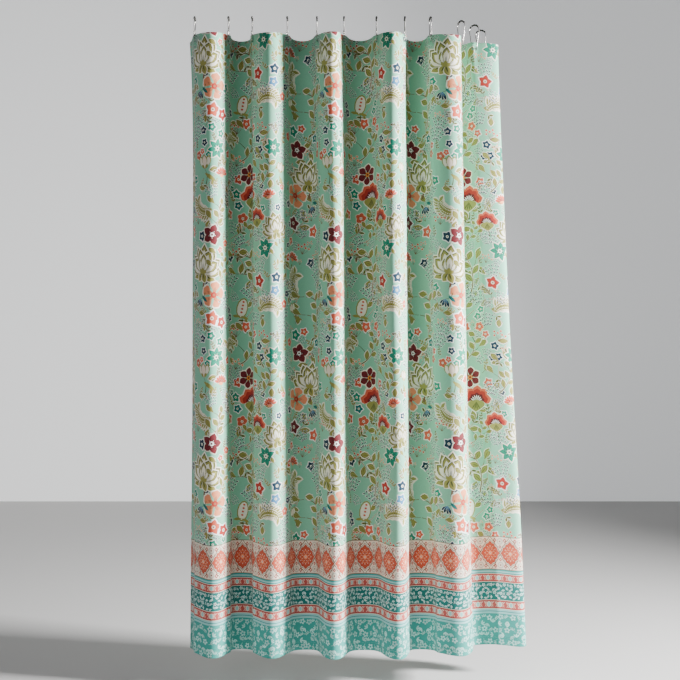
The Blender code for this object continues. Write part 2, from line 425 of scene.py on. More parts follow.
def poppy():
    """A red dome with an orange scalloped crown, over a striped olive bowl."""
    bowl = petal(math.pi / 2, 0.42, 0.62, start=-0.05, blunt=0.35, count=10)
    made = [(stroke(bent((0.05, 0.62), (0, 0.3), 0.08), 0.05), OLIVE_DARK)]
    crown = [-1.57 + a for a in (-1.35, -0.7, 0, 0.7, 1.35)]
    for reach, colour in ((0.60, CREAM), (0.55, CORAL), (0.44, RED), (0.30, MAROON)):
        made += fan(crown, (reach, 0.30 * reach / 0.5, 0.72, 7, colour))
    made += [(moved(petal(-1.57 + a, 0.16, 0.035, start=0.06, count=4), 0, 0), WHITE)
             for a in (-1.2, -0.8, -0.4, 0, 0.4, 0.8, 1.2)]
    made += [(bowl * 1.08, CREAM), (bowl, OLIVE)]
    stripes = [petal(1.57 + a, 0.30, 0.04, count=4) for a in (-0.5, -0.17, 0.17, 0.5)]
    return made + [(moved(stripe, 0, 0.02), OLIVE_DARK) for stripe in stripes]


def fern(colour=OLIVE):
    """A thick curved plume: a crescent fringed with small leaves, with dots along its middle."""
    t = np.linspace(0, 1, 15)
    angles = 0.7 + 2.1 * t
    arc = np.stack([0.36 * np.cos(angles), 0.36 * np.sin(angles)], 1)
    aside = beside(arc)
    half = 0.10 * np.sin(math.pi * np.linspace(0.06, 0.97, 15))[:, None] ** 0.6
    made = leafed(arc, CREAM, 11, 0.36, 0.12, rib=False) + leafed(arc, colour, 11, 0.33, 0.09, rib=False)
    for scale, tone in ((1.2, CREAM), (1.0, colour * 0.8), (0.82, colour)):
        out = aside * half * scale
        made.append((np.concatenate([arc + out, (arc - out)[::-1]]), tone))
    for i in range(1, 14):
        for side in (-0.5, 0, 0.5):
            spot = arc[i] + aside[i] * half[i] * side
            made.append((oval(*spot, 0.014, 0.02, count=5), OLIVE_DARK if side == 0 else CREAM))
    return made


def branch(colour=OLIVE, wood=BROWN, bow=0.14):
    """A twig with side shoots and outlined leaves."""
    main = bent((0, 0.55), (0.08, -0.5), bow)
    made = [(stroke(main, 0.06, 0.6), CREAM), (stroke(main, 0.035), wood)]
    for i, end in ((2, (-0.3, 0.02)), (4, (0.36, -0.14)), (6, (-0.26, -0.42))):
        made.append((stroke(bent(main[i], end, 0.12, 5), 0.028), wood))
        turn = math.atan2(end[1] - main[i][1], end[0] - main[i][0])
        leaf = fan([0], (0.34, 0.20, 0.6, 7, CREAM), (0.32, 0.165, 0.6, 7, colour * 0.66),
                   (0.29, 0.12, 0.6, 7, colour), (0.24, 0.025, 0.6, 4, colour * 0.66))
        made += set_at(leaf, *end, turn)
    return made + leafed(main, colour, 5, 0.30, 0.12, both=False)


def sprig(colour, count=6):
    """A cluster of small buds on fine stems."""
    made = []
    for i in range(count):
        turn = -math.pi / 2 + (i - (count - 1) / 2) * 0.48
        reach = 0.34 + 0.18 * (i % 2)
        tip = np.array([reach * math.cos(turn), reach * math.sin(turn) + 0.2])
        made.append((stroke(bent((0, 0.45), tip, 0.06, 4), 0.03), BROWN))
        made += [(oval(*tip, 0.105, 0.105, count=7), CREAM), (oval(*tip, 0.08, 0.08, count=7), colour)]
        made.append((oval(*tip, 0.028, 0.028, count=5), colour * 0.5))
    return made


def dots(colour=INK, rows=4):
    """A spray of dark dashes, each with a pale edge, in three rows."""
    made = []
    for ray in (-0.5, 0, 0.5):
        for i in range(rows):
            reach = 0.16 + 0.24 * i
            x, y = reach * math.sin(ray), 0.42 - reach * math.cos(ray)
            for side in (1, -1):
                at = (x + side * 0.03, y, -math.pi / 2 + ray + side * 0.75)
                made.append((moved(petal(0, 0.24, 0.15, count=4), *at), WHITE))
                made.append((moved(petal(0, 0.21, 0.095, count=4), *at), colour))
    return made


def leaflet(colour=OLIVE):
    """A short stem with a few small leaves."""
    line = bent((0, 0.5), (0.05, -0.45), 0.16, 6)
    made = [(stroke(line, 0.04), BROWN), (moved(petal(0, 0.3, 0.13), *line[-1], -1.4), colour)]
    return made + leafed(line, colour, 3, 0.34, 0.12)


def pod():
    """A cream seed pod with seeds."""
    made = [(stroke(bent((0.1, 0.5), (0, 0.2), 0.1), 0.04), OLIVE_DARK), (oval(0, -0.05, 0.21, 0.36), OLIVE),
            (oval(0, -0.05, 0.17, 0.31), CREAM)]
    made += [(oval(0, -0.27 + 0.12 * i, 0.045, 0.035, count=7), CORAL) for i in range(4)]
    return made + [(moved(petal(a, 0.32, 0.1, blunt=0.5), 0, 0.22), OLIVE) for a in (0.2, 2.9)]


def ground_motifs():
    """The floral repeat: (motif, across, down, turn, size), in millimetres on the tile."""
    five = flower(5, PEACH, RED, tip=0.72, wide=0.42)
    wine = flower(5, MAROON, WHITE, tip=0.55, wide=0.36)
    teal = flower(7, EMERALD, CREAM, tip=0.5, wide=0.26)
    dark = flower(6, MAROON, rgb(232, 140, 60), tip=0.66, wide=0.34)
    small = flower(5, CORAL, CREAM)
    first = [
        (artichoke(), 128, 62, 0.1, 128), (branch(), 186, 78, 0.2, 88), (five, 165, 158, 0.2, 78),
        (bell(), 116, 170, 0.2, 56), (star(CORAL), 160, 226, 0.2, 46), (star(RED), 195, 240, 0.5, 40),
        (star(NAVY), 128, 286, 0, 26), (star(NAVY), 132, 322, 0.5, 24), (star(EMERALD), 188, 296, 0.3, 28),
        (teal, 174, 340, 0.1, 60), (small, 104, 360, 0.3, 28), (tulip(), 134, 400, -0.1, 88),
        (mushroom(), 192, 418, 0.1, 58), (fern(), 133, 487, 0.2, 104),
        (branch(OLIVE, BROWN, -0.14), 188, 548, 0.1, 104),
        (wine, 158, 592, 0.3, 62), (dots(), 92, 300, 0.2, 44), (dots(), 210, 190, -0.2, 40),
        (dots(), 214, 470, 0.3, 44), (sprig(CORAL), 96, 545, -0.2, 40), (small, 212, 8, 0, 24),
        (dots(TEAL_DARK), 160, 470, -0.4, 38), (sprig(PEACH), 100, 240, 0.1, 32),
    ]
    second = [
        (sprig(CORAL), 290, 30, 0, 46), (branch(), 322, 78, -0.3, 124), (pod(), 306, 198, 0.2, 88),
        (sprig(CORAL), 284, 262, -0.2, 44), (branch(OLIVE, OLIVE_DARK, 0.2), 318, 312, 0.4, 104),
        (sprig(PEACH), 288, 360, 0.2, 42), (dark, 328, 404, 0.1, 62), (star(EMERALD), 286, 462, 0, 30),
        (star(TEAL_DARK), 292, 496, 0.4, 28), (poppy(), 344, 478, 0.1, 88), (small, 306, 534, 0.2, 34),
        (fern(), 262, 330, 2.4, 76), (dots(), 262, 120, 0.1, 46), (dots(), 360, 170, -0.3, 44),
        (dots(), 258, 420, 0.2, 42), (branch(OLIVE, BROWN), 340, 572, 0.5, 72),
        (dots(TEAL_DARK), 268, 572, 0, 40), (small, 364, 252, 0.5, 30), (star(NAVY), 250, 204, 0.1, 24),
    ]
    third = [
        (teal, 438, 20, 0.2, 60), (star(NAVY), 474, 106, 0.1, 34), (star(BLUE), 470, 144, 0.5, 32),
        (star(RED), 412, 118, 0.2, 42), (branch(), 482, 48, 0.5, 62), (fern(), 450, 222, 2.9, 104),
        (sprig(CORAL), 424, 276, 0.1, 42), (star(NAVY), 410, 310, 0.2, 28), (star(NAVY), 420, 342, 0.5, 26),
        (teal, 468, 336, 0.3, 58), (branch(OLIVE, OLIVE_DARK), 432, 402, 0.3, 98),
        (tulip(), 490, 412, 0.3, 70),
        (mushroom(), 452, 480, -0.2, 52), (poppy(), 402, 548, -0.1, 66), (artichoke(), 470, 562, -0.2, 92),
        (dots(), 500, 262, 0.2, 46), (dots(), 388, 238, -0.2, 42), (dots(), 394, 448, 0.1, 42),
        (small, 506, 186, 0, 28), (sprig(PEACH), 396, 44, 0.2, 34), (dots(TEAL_DARK), 508, 498, 0.1, 42),
        (dots(), 436, 168, 0.5, 36),
    ]
    fourth = [
        (fern(), 604, 124, 1.2, 112), (branch(), 22, 204, -0.2, 120), (tulip(), 566, 212, -0.4, 66),
        (star(EMERALD), 576, 276, 0.2, 36), (wine, 590, 330, 0.1, 58), (artichoke(), 18, 404, 0.15, 116),
        (five, 580, 468, 0.3, 72), (bell(), 24, 500, -0.2, 54), (star(MAROON), 570, 552, 0.2, 44),
        (sprig(CORAL), 602, 14, 0.1, 40), (sprig(CORAL), 40, 40, -0.3, 36), (mushroom(), 562, 52, 0.2, 54),
        (dots(), 542, 140, 0.1, 46), (dots(), 52, 108, -0.2, 44), (dots(), 544, 400, 0.2, 44),
        (star(TEAL_DARK), 46, 300, 0.2, 30), (star(CORAL), 30, 576, 0.3, 38), (dots(), 60, 470, 0.1, 42),
        (small, 540, 300, 0.2, 28), (dots(TEAL_DARK), 66, 220, 0.2, 40), (small, 66, 350, 0.4, 26),
        (star(NAVY), 538, 500, 0.1, 26),
    ]
    return first + second + third + fourth


def vines():
    """Long brown stems with leaves that wander between the flowers, in millimetres."""
    made = []
    runs = (
        ((70, 40), (150, 250), 0.16), ((196, 250), (120, 470), -0.14), ((110, 600), (240, 420), 0.12),
        ((262, 10), (345, 190), -0.12), ((350, 200), (262, 400), 0.16), ((262, 600), (372, 430), 0.14),
        ((372, 30), (440, 240), 0.14), ((505, 240), (420, 440), 0.15), ((380, 600), (500, 430), -0.14),
        ((520, 20), (600, 230), 0.14), ((640, 240), (560, 420), -0.15), ((545, 600), (640, 440), 0.13),
    )
    for start, end, bow in runs:
        line = bent(start, end, bow, 13)
        made += [(stroke(line, 3.4, 0.6), CREAM), (stroke(line, 1.8, 0.6), BROWN)]
        made += leafed(line, OLIVE, 6, 36, 13, both=False)
        made += leafed(line, OLIVE_DARK * 1.3, 4, 20, 7, both=True, rib=False)
    return made


def fillers(placed):
    """Small sprays in the gaps that the larger motifs leave."""
    spots = [(x, y, size * 0.36) for _, x, y, _, size in placed]
    kinds = [dots(), leaflet(), sprig(CORAL, 5), dots(), star(EMERALD), leaflet(OLIVE_DARK * 1.4),
             dots(INK, 3), sprig(PEACH, 5), leaflet(), star(CORAL), dots(), star(NAVY)]
    half = TILE_MM / 2
    made = []
    for _ in range(1500):
        x, y, size = rng.uniform(0, TILE_MM), rng.uniform(0, TILE_MM), rng.uniform(26, 46)
        apart = [math.hypot((x - a + half) % TILE_MM - half, (y - b + half) % TILE_MM - half) - r
                 for a, b, r in spots]
        if min(apart) > size * 0.30:
            kind = kinds[len(made) % len(kinds)]
            made.append((kind, x, y, rng.uniform(-0.9, 0.9), size if len(kind) > 20 else size * 0.75))
            spots.append((x, y, size * 0.34))
    return made


def tinted(colour, amount=0.10):
    """The colour, a little lighter or darker, as a brush leaves it."""
    return np.clip(colour * rng.uniform(1 - amount, 1 + amount), 0, 1)


def stamped(placements):
    shapes = []
    for motif, x, y, turn, size in placements:
        tones = {tuple(colour): tinted(colour) for _, colour in motif}
        shapes += [(outline, tones[tuple(colour)]) for outline, colour in set_at(motif, x, y, turn, size)]
    return shapes


# ---- The border's bands, below the floral ground ----


def band(top, bottom, colour):
    return np.array([(0, top), (TILE_MM, top), (TILE_MM, bottom), (0, bottom)], float), colour


def ogee(x, y, wide, high, point=1.3, ripple=0.05, count=40):
    """A four-pointed outline with rippled sides."""
    angles = np.linspace(0, 2 * math.pi, count, endpoint=False)
    c, s = np.cos(angles), np.sin(angles)
    reach = (np.abs(c) ** point + np.abs(s) ** point) ** (-1 / point) * (1 + ripple * np.cos(12 * angles))
    return np.stack([x + wide * reach * c, y + high * reach * s], 1)


def medallion(x, y):
    """A coral ogee medallion in a double outline."""
    made = [(ogee(x, y, 33, 51, 1.15, 0.03), BROWN), (ogee(x, y, 31, 48, 1.15, 0.03), CREAM),
            (ogee(x, y, 30, 44, 1.2, 0.03), SAND)]
    for wide, high, colour in ((31, 40, BROWN), (29.6, 38, CREAM), (28.2, 35.6, RED * 0.8),
                               (27.2, 34, CORAL * 0.82), (16, 20, PEACH), (14.2, 17.6, CORAL * 0.82),
                               (7.4, 8.4, PEACH)):
        made.append((ogee(x, y, wide, high, 1.32, 0.06), colour))
    for count, first, wide, high, size in ((12, 0, 17, 21.5, 1.5), (8, 0.5, 9.8, 12, 1.3)):
        for i in range(count):
            turn = 2 * math.pi * (i + first) / count
            spot = x + wide * math.cos(turn), y + high * math.sin(turn)
            made.append((oval(*spot, size, size, count=5), SAND))
    return made + [(oval(x, y, 3, 3, count=8), CREAM), (oval(x, y, 1.6, 1.6, count=6), RED)]


def diamond(x, y, size, colour):
    return np.array([(x - size, y), (x, y - 1.3 * size), (x + size, y), (x, y + 1.3 * size)], float), colour


def bead_band(top, bottom):
    """A narrow red band of aqua beads with pale scrolls between them."""
    middle, half = (top + bottom) / 2, (bottom - top) / 2
    ground = rgb(186, 84, 80)
    made = [band(top, bottom, SAND), band(top + 1.6, bottom - 1.6, RED * 0.8),
            band(top + 3.2, bottom - 3.2, ground)]
    count = 18
    step = TILE_MM / count
    for i in range(count):
        x = step * (i + 0.5)
        made += [(oval(x, middle, half * wide, half * high), tone)
                 for wide, high, tone in ((0.52, 0.6, SAND), (0.38, 0.44, AQUA))]
        for side in (-1, 1):
            for reach in (0.30, 0.44):
                curl = bent((x + side * reach * step, middle - half * 0.55),
                            (x + side * (reach - 0.06) * step, middle + half * 0.55), side * 0.3, 5)
                made.append((stroke(curl, 1.7, 0.7), SAND))
            made.append((oval(x + side * step * 0.37, middle + side * half * 0.2, 1.6, 1.6, count=6), PEACH))
    return made


def scattered(top, bottom, step, pale, reds):
    """Small flowers and leaves in pale tints, set close together."""
    made = []
    rows = max(2, int((bottom - top) / step))
    columns = int(TILE_MM / step)
    for i in range(rows):
        for j in range(columns):
            x = (j + 0.5 + 0.5 * (i % 2)) * TILE_MM / columns + rng.uniform(-0.12, 0.12) * step
            y = top + (i + 0.5) * (bottom - top) / rows + rng.uniform(-0.12, 0.12) * step
            turn = rng.uniform(0, 2 * math.pi)
            tone = tinted(pale, 0.14)
            if (i + 2 * j) % 4 == 0:
                size = step * 0.56
                made += [(moved(petal(turn + 2 * math.pi * n / 5, size, size * 0.66, count=5), x, y), tone)
                         for n in range(5)]
                heart = RED if reds and j % 3 == 0 else TEAL
                made.append((oval(x, y, size * 0.30, size * 0.30, count=6), heart))
            elif (i + 2 * j) % 4 == 2:
                line = bent((x - step * 0.5 * math.cos(turn), y - step * 0.5 * math.sin(turn)),
                            (x + step * 0.5 * math.cos(turn), y + step * 0.5 * math.sin(turn)), 0.2, 5)
                made.append((stroke(line, step * 0.07), tone))
                leaves = leafed(line, pale, 3, step * 0.42, step * 0.16, rib=False)[1::2]
                made += [(outline, tone) for outline, _ in leaves]
            else:
                for n in range(3):
                    leaf = petal(turn + 0.75 * (n - 1), step * 0.74, step * 0.29, count=4)
                    made.append((moved(leaf, x, y), tone))
    return made


def border_shapes():
    """All the bands, with the top of the border at 0 and the hem at its height."""
    made = [band(0, 101, SAND), band(0, 2.0, BROWN), band(2.0, 3.4, CREAM), band(99, 101, BROWN * 1.2)]
    pitch = TILE_MM / 10
    for i in range(11):
        x = (i + 0.5) * pitch
        for y, inwards in ((15, 1), (87, -1)):
            made += [(oval(x, y, 9, 10, count=12), GREY), (oval(x, y, 6.5, 7.5, count=10), SAND * 0.93),
                     (oval(x, y, 2.2, 2.2, count=7), MAROON), diamond(x, y + inwards * 17, 4.6, RED),
                     diamond(x, y + inwards * 17, 1.6, CREAM)]
            for side in (-1, 1):
                spot = x + side * 15, y - inwards * 3
                made += [diamond(*spot, 5.4, RED), diamond(*spot, 2.4, CREAM)]
    for i in range(11):
        made += medallion(i * pitch, 51)
    made += [band(101, 105, TEAL), band(105, 109.5, AQUA), band(109.5, 113, TEAL * 0.9)]
    made += bead_band(113, 139)
    made += [band(139, 193, rgb(24, 116, 110))] + scattered(141, 191, 10.5, rgb(196, 226, 222), True)
    made += bead_band(193, 221)
    made += [band(221, 227, AQUA), band(227, 229, TEAL_DARK * 1.4), band(229, 235, AQUA)]
    made += [band(235, BORDER_MM, rgb(60, 158, 148))]
    return made + scattered(237, BORDER_MM - 1, 17, rgb(176, 222, 214), False)


# ---- From flat shapes to triangles ----


def wrapped(shapes, wrap_down):
    """The shapes, with copies of those that cross the tile's edges on its other side."""
    made = []
    for outline, colour in shapes:
        low, high = outline.min(0), outline.max(0)
        for i in (-1, 0, 1):
            for j in (-1, 0, 1) if wrap_down else (0,):
                shift = np.array([i, j]) * TILE_MM
                if ((low + shift) < TILE_MM).all() and ((high + shift) > 0).all():
                    made.append((outline + shift, colour))
    return made


def within(outline, spots):
    """Which of the spots lie inside the outline, by the even-odd rule."""
    inside = np.zeros(len(spots), bool)
    for (ax, ay), (bx, by) in zip(outline, np.roll(outline, -1, 0)):
        if ay != by:
            crosses = (ay > spots[:, 1]) != (by > spots[:, 1])
            inside ^= crosses & (spots[:, 0] < (bx - ax) * (spots[:, 1] - ay) / (by - ay) + ax)
    return inside


def cut_up(places, lines):
    """The triangles between lines, which are pairs of the places' numbers."""
    flat = [Vector(p) for p in places]
    out, _, corners, _, _, _ = geometry.delaunay_2d_cdt(flat, lines, [], 0, 1e-3, False)
    return np.array([tuple(p) for p in out]), np.array(corners)


def outline_lines(outlines):
    places, lines = [], []
    for outline in outlines:
        first, count = len(places), len(outline)
        places += list(outline)
        lines += [(first + i, first + (i + 1) % count) for i in range(count)]
    return places, lines


def painted(places, corners, shapes, holes, height):
    """The triangles inside the tile, with the number of the topmost shape over each: -1 is the ground."""
    middle = places[corners].mean(1)
    inside = (middle > 0).all(1) & (middle[:, 0] < TILE_MM) & (middle[:, 1] < height)
    order = np.argsort(middle[inside, 1])
    corners, middle = corners[inside][order], middle[inside][order]
    label = np.full(len(corners), -1)
    for number, outline in [(i, shape[0]) for i, shape in enumerate(shapes)] + [(-2, hole) for hole in holes]:
        low, high = outline.min(0), outline.max(0)
        first, last = np.searchsorted(middle[:, 1], (low[1], high[1]))
        near = first + np.flatnonzero((middle[first:last, 0] > low[0]) & (middle[first:last, 0] < high[0]))
        label[near[within(outline, middle[near])]] = number
    return corners, label


def triangulated(shapes, height, lines_down, holes):
    """Triangles of one tile, cut along its grid and its cut lines: places, corners, colours, holes.

    Shapes are cut against each other first, and only the lines where the colour changes are kept.
    """
    tints = {tuple(GROUND): 0}
    tint_of = np.array([tints.setdefault(tuple(colour), len(tints)) for _, colour in shapes] + [-1, 0])
    places, corners = cut_up(*outline_lines([outline for outline, _ in shapes] + holes))
    corners, label = painted(places, corners, shapes, holes, height)
    pairs = np.sort(corners[:, [0, 1, 1, 2, 2, 0]].reshape(-1, 2), axis=1)
    key = pairs[:, 0] * len(places) + pairs[:, 1]
    order = np.argsort(key, kind="stable")
    tint = np.repeat(tint_of[label], 3)[order]
    changes = (key[order][1:] == key[order][:-1]) & (tint[1:] != tint[:-1])
    kept = pairs[order[1:][changes]]
    used, lines = np.unique(kept, return_inverse=True)
    places, lines = list(places[used]), [tuple(pair) for pair in lines.reshape(-1, 2).tolist()]

    cuts = [k * PITCH_MM - PITCH_MM / 2 + CUT_MM for k in range(1, 5)]
    for x in sorted({round(i * GRID_ACROSS_MM, 4) for i in range(81)} | {round(c, 4) for c in cuts}):
        lines.append((len(places), len(places) + 1))
        places += [(x, 0), (x, height)]
    for y in lines_down:
        lines.append((len(places), len(places) + 1))
        places += [(0, y), (TILE_MM, y)]
    places, corners = cut_up(places, lines)
    corners, label = painted(places, corners, shapes, holes, height)
    colours = np.array([colour for _, colour in shapes] + [GROUND, GROUND])[label]
    return places, corners, colours, label == -2


def buttonhole(x, y, long=12.8, high=5.2, count=8):
    """The outline of a buttonhole: straight sides and round ends."""
    half = (long - high) / 2
    right = np.linspace(-math.pi / 2, math.pi / 2, count)
    ends = [(x + half + high / 2 * math.cos(a), y + high / 2 * math.sin(a)) for a in right]
    ends += [(x - half - high / 2 * math.cos(a), y - high / 2 * math.sin(a)) for a in right]
    return np.array(ends)


def flat_cloth():
    """Every triangle of the flat cloth: corners' places, (count, 3, 2), and colours."""
    rest = GROUND_MM % TILE_MM
    lines = sorted({round(i * GRID_DOWN_MM, 4) for i in range(25)} | {rest})
    holes = [buttonhole((k + 0.5) * PITCH_MM, SEAT_DROP * 1000) for k in range(4)]
    placed = ground_motifs()
    shapes = vines()
    shapes += stamped(fillers(placed)) + stamped(placed)
    ground = triangulated(wrapped(shapes, True), TILE_MM, lines, holes)
    lines = [BORDER_MM * i / 14 for i in range(15)]
    border = triangulated(wrapped(border_shapes(), False), BORDER_MM, lines, [])
    all_places, all_colours = [], []
    for row in range(3):
        places, corners, colours, in_hole = ground
        shown = ~in_hole if row == 0 else np.ones(len(corners), bool)
        limit = GROUND_MM - row * TILE_MM
        shown &= places[corners].mean(1)[:, 1] < limit
        for column in range(3):
            all_places.append(places[corners[shown]] + np.array([column, row]) * TILE_MM)
            all_colours.append(colours[shown])
    places, corners, colours, _ = border
    for column in range(3):
        all_places.append(places[corners] + np.array([column * TILE_MM, GROUND_MM]))
        all_colours.append(colours)
    return np.concatenate(all_places), np.concatenate(all_colours)


# ---- Materials ----


def linked(name, data):
    """A new object in the scene."""
    made = bpy.data.objects.new(name, data)
    bpy.context.scene.collection.objects.link(made)
    return made


def new_material(name):
    made = bpy.data.materials.new(name)
    made.use_nodes = True
    nodes = made.node_tree.nodes
    return made, nodes, made.node_tree.links, nodes["Principled BSDF"]


def add_node(nodes, kind, inputs=(), **values):
    made = nodes.new(kind)
    for key, value in dict(inputs).items():
        made.inputs[key].default_value = value
    for key, value in values.items():
        setattr(made, key, value)
    return made


def ranged(nodes, links, source, low, high):
    """A value from 0 to 1, stretched to lie between low and high."""
    made = add_node(nodes, "ShaderNodeMapRange", {"To Min": low, "To Max": high})
    links.new(source, made.inputs["Value"])
    return made.outputs["Result"]


def bumped(nodes, links, source, strength, distance, shader):
    made = add_node(nodes, "ShaderNodeBump", {"Strength": strength, "Distance": distance})
    links.new(source, made.inputs["Height"])
    links.new(made.outputs["Normal"], shader.inputs["Normal"])


def cloth_material():
    """Printed plain-weave polyester: the print, uneven dye, a fine weave and a little show-through."""
    made, nodes, links, shader = new_material("printed_cloth")
    uv = add_node(nodes, "ShaderNodeUVMap", uv_map="flat")
    colour = add_node(nodes, "ShaderNodeVertexColor", layer_name="print")
    noise = add_node(nodes, "ShaderNodeTexNoise", {"Scale": 260, "Detail": 5})
    links.new(uv.outputs["UV"], noise.inputs["Vector"])
    shade = ranged(nodes, links, noise.outputs["Fac"], 0.86, 1.10)
    mix = add_node(nodes, "ShaderNodeVectorMath", operation="SCALE")
    links.new(colour.outputs["Color"], mix.inputs["Vector"])
    links.new(shade, mix.inputs["Scale"])
    links.new(mix.outputs["Vector"], shader.inputs["Base Color"])
    heights = []
    for direction in ("X", "Y"):
        wave = add_node(nodes, "ShaderNodeTexWave", {"Scale": 420, "Distortion": 1.2, "Detail": 1},
                        wave_type="BANDS", bands_direction=direction)
        links.new(uv.outputs["UV"], wave.inputs["Vector"])
        heights.append(wave.outputs["Fac"])
    weave = add_node(nodes, "ShaderNodeMath", operation="MAXIMUM")
    links.new(heights[0], weave.inputs[0])
    links.new(heights[1], weave.inputs[1])
    bumped(nodes, links, weave.outputs["Value"], 0.12, 0.0004, shader)
    links.new(ranged(nodes, links, noise.outputs["Fac"], 0.68, 0.86), shader.inputs["Roughness"])
    shader.inputs["Sheen Weight"].default_value = 0.15
    shader.inputs["Sheen Roughness"].default_value = 0.5
    shader.inputs["Specular IOR Level"].default_value = 0.3
    through = nodes.new("ShaderNodeBsdfTranslucent")
    links.new(mix.outputs["Vector"], through.inputs["Color"])
    both = add_node(nodes, "ShaderNodeMixShader", {0: SHOW_THROUGH})
    links.new(shader.outputs[0], both.inputs[1])
    links.new(through.outputs[0], both.inputs[2])
    links.new(both.outputs[0], nodes["Material Output"].inputs["Surface"])
    return made


def metal_material(name, colour, roughness):
    """Polished plating with faint handling marks."""
    made, nodes, links, shader = new_material(name)
    place = nodes.new("ShaderNodeTexCoord")
    noise = add_node(nodes, "ShaderNodeTexNoise", {"Scale": 900, "Detail": 4})
    links.new(place.outputs["Object"], noise.inputs["Vector"])
    tone = add_node(nodes, "ShaderNodeMixRGB", {"Color1": (*(colour * 0.82), 1), "Color2": (*colour, 1)})
    links.new(noise.outputs["Fac"], tone.inputs["Fac"])
    links.new(tone.outputs["Color"], shader.inputs["Base Color"])
    rough = ranged(nodes, links, noise.outputs["Fac"], roughness * 0.7, roughness * 1.5)
    links.new(rough, shader.inputs["Roughness"])
    bumped(nodes, links, noise.outputs["Fac"], 0.05, 0.0001, shader)
    shader.inputs["Metallic"].default_value = 1.0
    return made


# ---- Cloth pieces ----


def strip(start, end, top, bottom, lift, across=GRID_ACROSS_MM, down=GRID_DOWN_MM):
    """Triangles of a plain layer over a flat rectangle: places and how far each stands off."""
    columns = np.linspace(start, end, max(2, int(round((end - start) / across)) + 1))
    rows = np.linspace(top, bottom, max(2, int(round((bottom - top) / down)) + 1))
    cells = []
    for a, b in zip(columns, columns[1:]):
        for c, d in zip(rows, rows[1:]):
            cells += [((a, c), (b, c), (b, d)), ((a, c), (b, d), (a, d))]
    places = np.array(cells)
    return places, np.full(places.shape[:2], lift)


def stitch(x, y, turn, long=2.3, wide=0.5, high=0.35):
    """One raised stitch, as the triangles of a low ridge on both faces of the cloth."""
    c, s = math.cos(turn), math.sin(turn)

    def spot(along, aside):
        return (x + along * c - aside * s, y + along * s + aside * c)

    ends = [spot(-long / 2, 0), spot(long / 2, 0)]
    sides = [spot(0, wide / 2), spot(0, -wide / 2)]
    top = spot(0, 0)
    places, lifts = [], []
    for face in (1, -1):
        for a, b in ((ends[0], sides[0]), (sides[0], ends[1]), (ends[1], sides[1]), (sides[1], ends[0])):
            trio = (top, a, b) if face > 0 else (top, b, a)
            places.append(trio)
            lifts.append((face * high, face * 0.05, face * 0.05))
    return np.array(places), np.array(lifts)


def piece_extras(start, end):
    """Hem layers, stitching and bound buttonholes between two cut lines: places, lifts, colours."""
    parts = []
    low = HEIGHT * 1000
    layers = [(start, end, HEM_MM, HEADER_MM), (start, end, low - BOTTOM_HEM_MM, low - HEM_MM)]
    if start == 0:
        layers.append((HEM_MM, SIDE_HEM_MM, HEADER_MM, low - BOTTOM_HEM_MM))
    if end == WIDTH * 1000:
        layers.append((end - SIDE_HEM_MM, end - HEM_MM, HEADER_MM, low - BOTTOM_HEM_MM))
    for layer in layers:
        parts.append((*strip(*layer, -HEM_MM), GROUND * 1.12))
    gap = STITCH_GAP_MM
    for y in (HEADER_MM - 2, low - BOTTOM_HEM_MM + 2):
        for i in range(int(math.ceil(start / gap)), int(end / gap)):
            parts.append((*stitch(i * gap + 1.2, y, 0), WHITE * 0.9))
    for edge in [SIDE_HEM_MM - 2] * (start == 0) + [WIDTH * 1000 - SIDE_HEM_MM + 2] * (end == WIDTH * 1000):
        for i in range(int(low / gap)):
            parts.append((*stitch(edge, i * gap + 1.2, math.pi / 2), WHITE * 0.9))
    for k in range(HOOKS):
        x = (k + 0.5) * PITCH_MM
        if start <= x < end:
            rim = buttonhole(x, SEAT_DROP * 1000, 14.8, 7.2, 16)
            for point in rim:
                turn = math.atan2(point[1] - SEAT_DROP * 1000, 0.35 * (point[0] - x))
                parts.append((*stitch(*point, turn, 2.4, 0.95, 0.55), WHITE))
    places = np.concatenate([p for p, _, _ in parts])
    lifts = np.concatenate([h for _, h, _ in parts])
    colours = np.concatenate([np.tile(np.clip(c, 0, 1), (len(p), 1)) for p, _, c in parts])
    return places, lifts, colours


def bake_layout(places, start):
    """Places on the bake's square: three columns side by side, each a third of the piece."""
    column = np.minimum((places[:, :, 1].mean(1) // TILE_MM).astype(int), 2)[:, None]
    u = (places[:, :, 0] - start + BAKE_MARGIN_MM) / BAKE_SIDE_MM + column * BAKE_COLUMN
    v = (places[:, :, 1] - column * TILE_MM + BAKE_MARGIN_MM) / BAKE_SIDE_MM
    return np.stack([u, v], 2)


